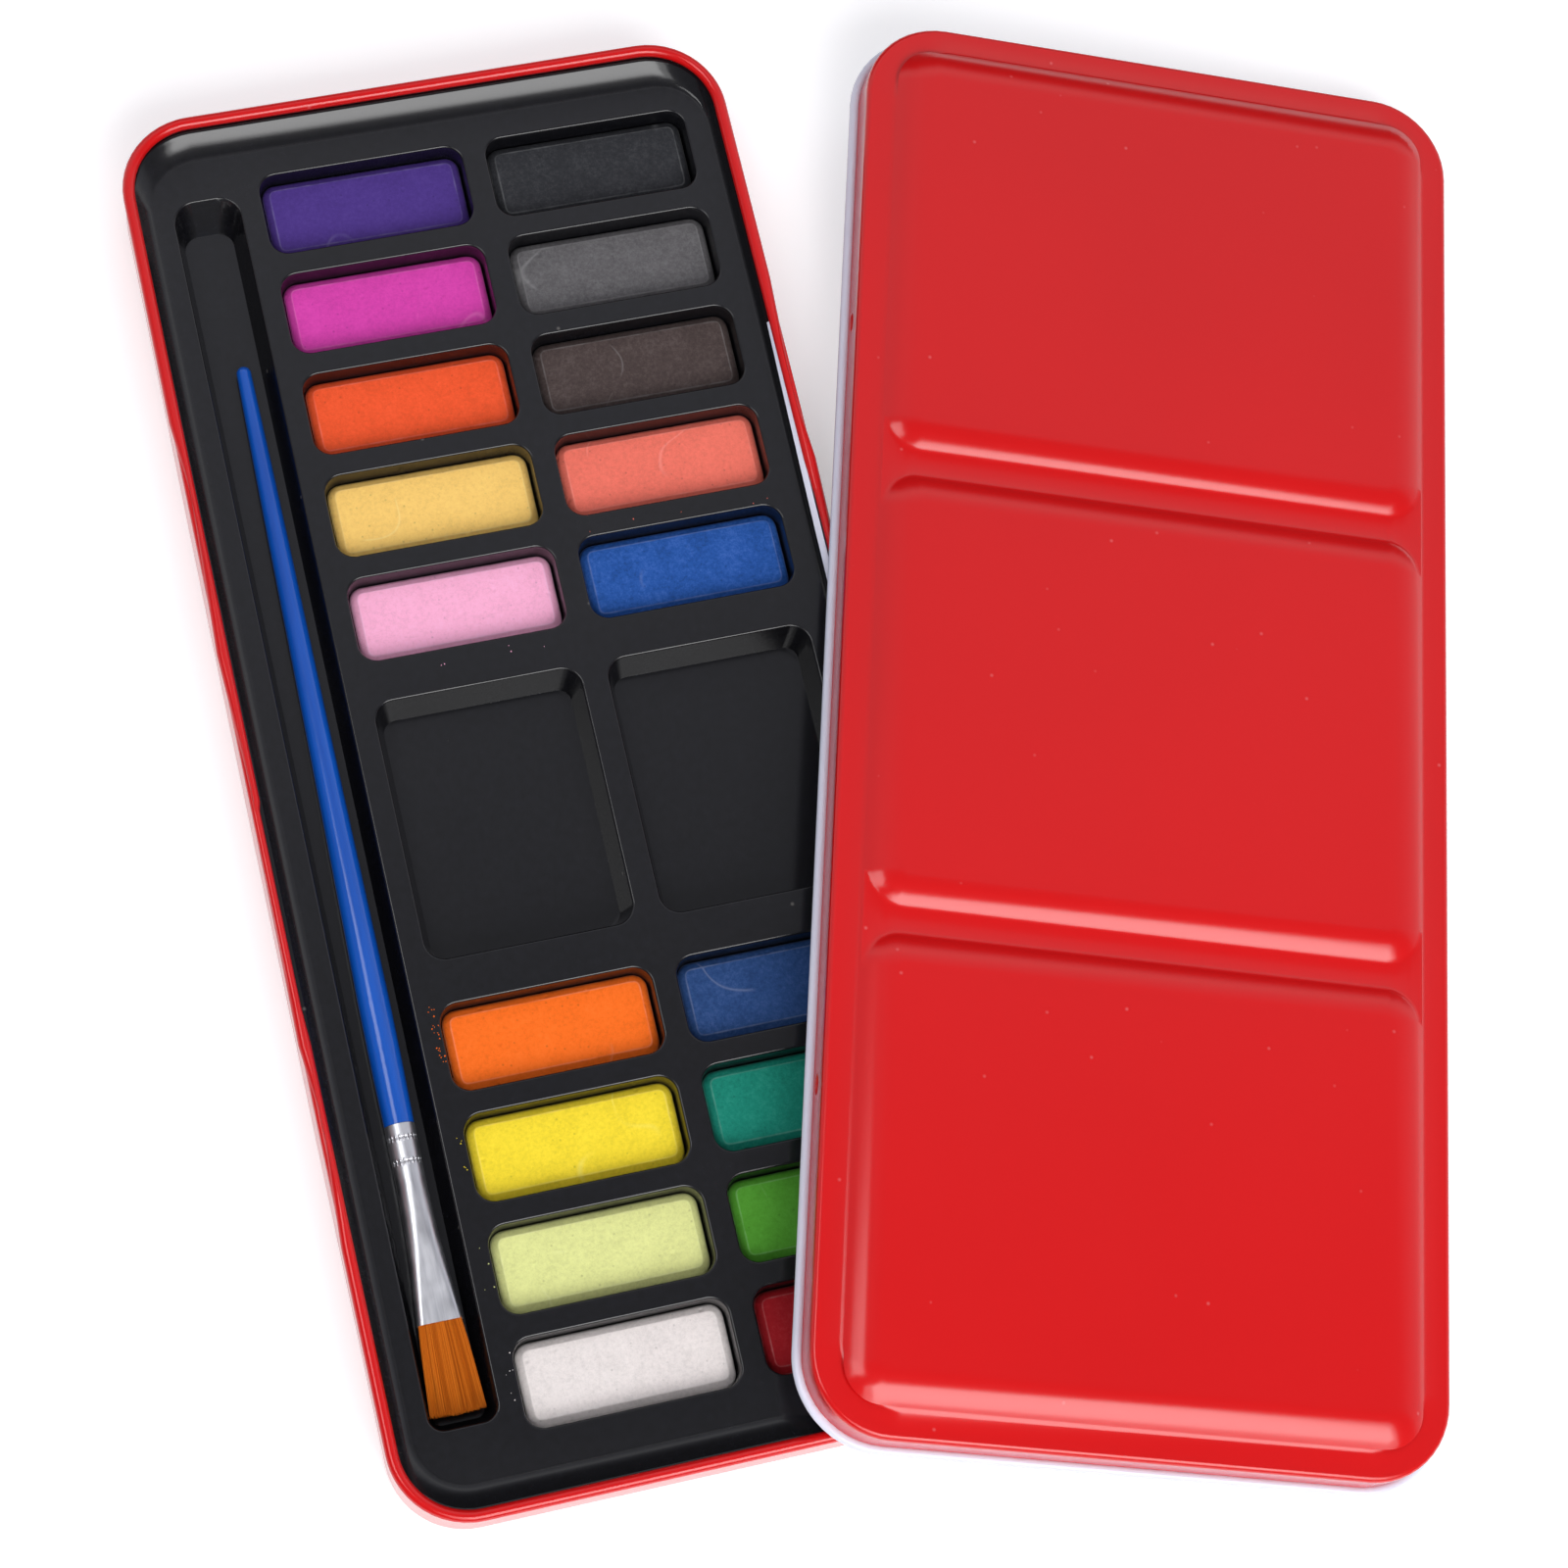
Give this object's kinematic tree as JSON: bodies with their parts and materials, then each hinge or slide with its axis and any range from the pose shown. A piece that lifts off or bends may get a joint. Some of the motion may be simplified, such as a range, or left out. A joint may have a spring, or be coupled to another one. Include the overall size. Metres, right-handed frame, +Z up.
{
  "type": "watercolour paint set",
  "caption": "Flat pressed-metal paint tin with a moulded tray of paint cakes, two mixing wells and a flat brush, its raised-panel lid lying loose beside it.",
  "frame": {"origin": "centre of the base tin's underside, on the table", "axes": "+X towards the side the lid lies on, +Y along the tin towards the brush handle's tip, +Z up out of the tin"},
  "size_m": [0.2011, 0.2334, 0.0251],
  "materials": {
    "red_enamel": "gloss",
    "lid_enamel": "gloss",
    "black_tray": "satin",
    "handle_lacquer": "gloss",
    "ferrule_metal": "satin",
    "bristle_fibre": "satin",
    "paint_purple": "matte",
    "paint_magenta": "matte",
    "paint_red": "matte",
    "paint_golden": "matte",
    "paint_pink": "matte",
    "paint_orange": "matte",
    "paint_lemon": "matte",
    "paint_lime": "matte",
    "paint_white": "matte",
    "paint_black": "matte",
    "paint_grey": "matte",
    "paint_brown": "matte",
    "paint_coral": "matte",
    "paint_blue": "matte",
    "paint_navy": "matte",
    "paint_teal": "matte",
    "paint_green": "matte",
    "paint_crimson": "matte"
  },
  "bodies": {
    "base": {"base_tin": "red_enamel", "tray": "black_tray", "cake_purple": "paint_purple", "cake_magenta": "paint_magenta", "cake_red": "paint_red", "cake_golden": "paint_golden", "cake_pink": "paint_pink", "cake_orange": "paint_orange", "cake_lemon": "paint_lemon", "cake_lime": "paint_lime", "cake_white": "paint_white", "cake_black": "paint_black", "cake_grey": "paint_grey", "cake_brown": "paint_brown", "cake_coral": "paint_coral", "cake_blue": "paint_blue", "cake_navy": "paint_navy", "cake_teal": "paint_teal", "cake_green": "paint_green", "cake_crimson": "paint_crimson"},
    "brush": {"brush_handle": "handle_lacquer", "brush_ferrule": "ferrule_metal", "brush_bristles": "bristle_fibre"},
    "lid": {"lid": "lid_enamel"}
  },
  "joints": [
    {"name": "brush_lift", "type": "slide", "parent": "base", "child": "brush", "axis": [0, 0, 1], "range_m": [0, 0.05]},
    {"name": "lid_lift", "type": "slide", "parent": "base", "child": "lid", "axis": [0, 0, 1], "range_m": [0, 0.06]}
  ]
}
